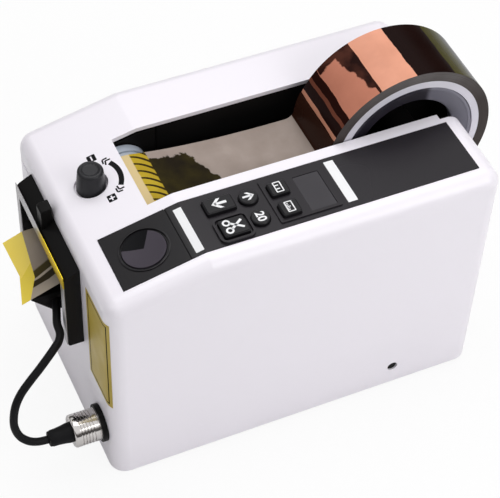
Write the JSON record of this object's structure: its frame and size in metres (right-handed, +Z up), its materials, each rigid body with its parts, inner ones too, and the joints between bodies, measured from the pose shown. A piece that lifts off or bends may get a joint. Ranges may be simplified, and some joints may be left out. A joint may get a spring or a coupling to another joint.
{
  "type": "electric tape dispenser",
  "caption": "Desk tape dispenser: moulded housing with a tape well and roll, ribbed feed roller, lifting blade cutter, key panel, pressure knob and front sensor lead.",
  "frame": {"origin": "middle of the footprint on the table, at the soles of the rubber feet", "axes": "+Z up, +Y to the rear where the roll hangs over, -Y to the front where the tape comes out, +X to the side with the control panel"},
  "size_m": [0.137, 0.2871, 0.1785],
  "materials": {
    "white_shell": "moulded, satin gloss",
    "base_grey": "powder coat",
    "foot_rubber": "matt",
    "black_steel": "black finish",
    "black_plastic": "fine texture",
    "panel_gloss": "glossy dark",
    "display": "smoked window",
    "board": "solder mask",
    "steel": "ground",
    "dark_metal": "dark",
    "brass": "turned",
    "tape_film": "amber film",
    "tape_wound": "amber film wound up",
    "core_card": "white card",
    "hub_plastic": "moulded",
    "plug_chrome": "polished",
    "cable_rubber": "smooth",
    "roller_rubber": "ribbed, silicone",
    "pinch_rubber": "smooth",
    "gear_plastic": "acetal",
    "knob_plastic": "moulded",
    "key_plastic": "moulded"
  },
  "bodies": {
    "case": {"upper_housing": "white_shell", "base_plate": "base_grey", "rubber_feet": "foot_rubber", "case_screws": "black_steel", "mech_plate_left": "black_steel", "mech_plate_right": "black_steel", "well_liner": "black_plastic", "cutter_guard": "black_plastic", "guard_latch": "black_plastic", "tape_sensor": "black_plastic", "sensor_socket": "black_plastic", "power_inlet": "black_plastic", "switch_frame": "black_plastic", "control_panel": "panel_gloss", "display_window": "display", "circuit_board": "board", "plate_spacers": "steel", "tape_guide": "steel", "fixed_blade": "steel", "yoke_pivots": "steel", "guard_rim": "steel", "pressure_spring": "steel", "return_springs": "steel", "feed_motor": "steel", "cutter_motor": "steel", "blade_bar": "dark_metal", "feed_bearings": "brass", "tape_lead": "tape_film", "sensor_plug": "plug_chrome", "plug_boot": "cable_rubber", "sensor_cable": "cable_rubber"},
    "reel": {"tape_roll": "tape_wound", "tape_core": "core_card", "reel_hub": "hub_plastic", "reel_axle": "steel"},
    "feed": {"feed_roller": "roller_rubber", "feed_shaft": "steel", "feed_gear": "gear_plastic"},
    "motor_pinion": {"motor_gear": "gear_plastic"},
    "yoke": {"pinch_yoke": "steel", "pinch_axle": "steel"},
    "pinch": {"pinch_roller": "pinch_rubber"},
    "knob": {"pressure_knob": "knob_plastic", "pressure_screw": "steel"},
    "nut": {"pressure_nut": "brass"},
    "cutter": {"blade_carrier": "dark_metal", "moving_blade": "steel"},
    "cam": {"cutter_cam": "gear_plastic", "cam_shaft": "steel"},
    "start_key": {"start_key": "key_plastic"},
    "reverse_key": {"reverse_key": "key_plastic"},
    "cut_key": {"cut_key": "key_plastic"},
    "forward_key": {"forward_key": "key_plastic"},
    "preset_key": {"preset_key": "key_plastic"},
    "long_unit_key": {"long_unit_key": "key_plastic"},
    "short_unit_key": {"short_unit_key": "key_plastic"},
    "rocker": {"power_rocker": "black_plastic"}
  },
  "joints": [
    {"name": "reel_spin", "type": "hinge", "parent": "case", "child": "reel", "pos_m": [0, 0.0815, 0.1301], "axis": [1, 0, 0], "continuous": true},
    {"name": "feed_spin", "type": "hinge", "parent": "case", "child": "feed", "pos_m": [0, -0.0636, 0.124], "axis": [1, 0, 0], "continuous": true},
    {"name": "motor_spin", "type": "hinge", "parent": "case", "child": "motor_pinion", "pos_m": [0, -0.0636, 0.0952], "axis": [1, 0, 0], "continuous": true},
    {"name": "pinch_lift", "type": "hinge", "parent": "case", "child": "yoke", "pos_m": [0, -0.08405, 0.12992], "axis": [-1, 0, 0], "range_deg": [0, 6], "stiffness_Nm_per_rad": 0.6, "deforming": ["pressure_spring"]},
    {"name": "pinch_spin", "type": "hinge", "parent": "yoke", "child": "pinch", "pos_m": [0, -0.08305, 0.11692], "axis": [1, 0, 0], "continuous": true},
    {"name": "knob_turn", "type": "hinge", "parent": "case", "child": "knob", "pos_m": [-0.0123, -0.0866, 0.14], "axis": [0, 0, -1], "range_deg": [0, 270]},
    {"name": "nut_travel", "type": "slide", "parent": "case", "child": "nut", "axis": [0, 0, -1], "range_m": [0, 0.0015], "deforming": ["pressure_spring"]},
    {"name": "cam_turn", "type": "hinge", "parent": "case", "child": "cam", "pos_m": [0, -0.097, 0.07798], "axis": [1, 0, 0], "range_deg": [0, 180]},
    {"name": "blade_lift", "type": "slide", "parent": "case", "child": "cutter", "axis": [0, 0, 1], "range_m": [0, 0.007], "deforming": ["return_springs", "tape_lead"]},
    {"name": "start_key_press", "type": "slide", "parent": "case", "child": "start_key", "axis": [0, 0.2233, -0.9748], "range_m": [0, 0.001], "stiffness_N_per_m": 600},
    {"name": "reverse_key_press", "type": "slide", "parent": "case", "child": "reverse_key", "axis": [0, 0, -1], "range_m": [0, 0.001], "stiffness_N_per_m": 600},
    {"name": "cut_key_press", "type": "slide", "parent": "case", "child": "cut_key", "axis": [0, 0, -1], "range_m": [0, 0.001], "stiffness_N_per_m": 600},
    {"name": "forward_key_press", "type": "slide", "parent": "case", "child": "forward_key", "axis": [0, 0, -1], "range_m": [0, 0.001], "stiffness_N_per_m": 600},
    {"name": "preset_key_press", "type": "slide", "parent": "case", "child": "preset_key", "axis": [0, 0, -1], "range_m": [0, 0.001], "stiffness_N_per_m": 600},
    {"name": "long_unit_key_press", "type": "slide", "parent": "case", "child": "long_unit_key", "axis": [0, 0, -1], "range_m": [0, 0.001], "stiffness_N_per_m": 600},
    {"name": "short_unit_key_press", "type": "slide", "parent": "case", "child": "short_unit_key", "axis": [0, 0, -1], "range_m": [0, 0.001], "stiffness_N_per_m": 600},
    {"name": "power_rock", "type": "hinge", "parent": "case", "child": "rocker", "pos_m": [0.045, 0.1068, 0.052], "axis": [-1, 0, 0], "range_deg": [0, 16]}
  ],
  "couplings": [
    {"joint": "feed_spin", "follows": "reel_spin", "ratio": 3.2},
    {"joint": "motor_spin", "follows": "reel_spin", "ratio": -3.2},
    {"joint": "pinch_spin", "follows": "reel_spin", "ratio": -9.472},
    {"joint": "knob_turn", "follows": "nut_travel", "rad_per_m": 3141.6},
    {"joint": "cam_turn", "follows": "blade_lift", "rad_per_m": 448.79}
  ]
}
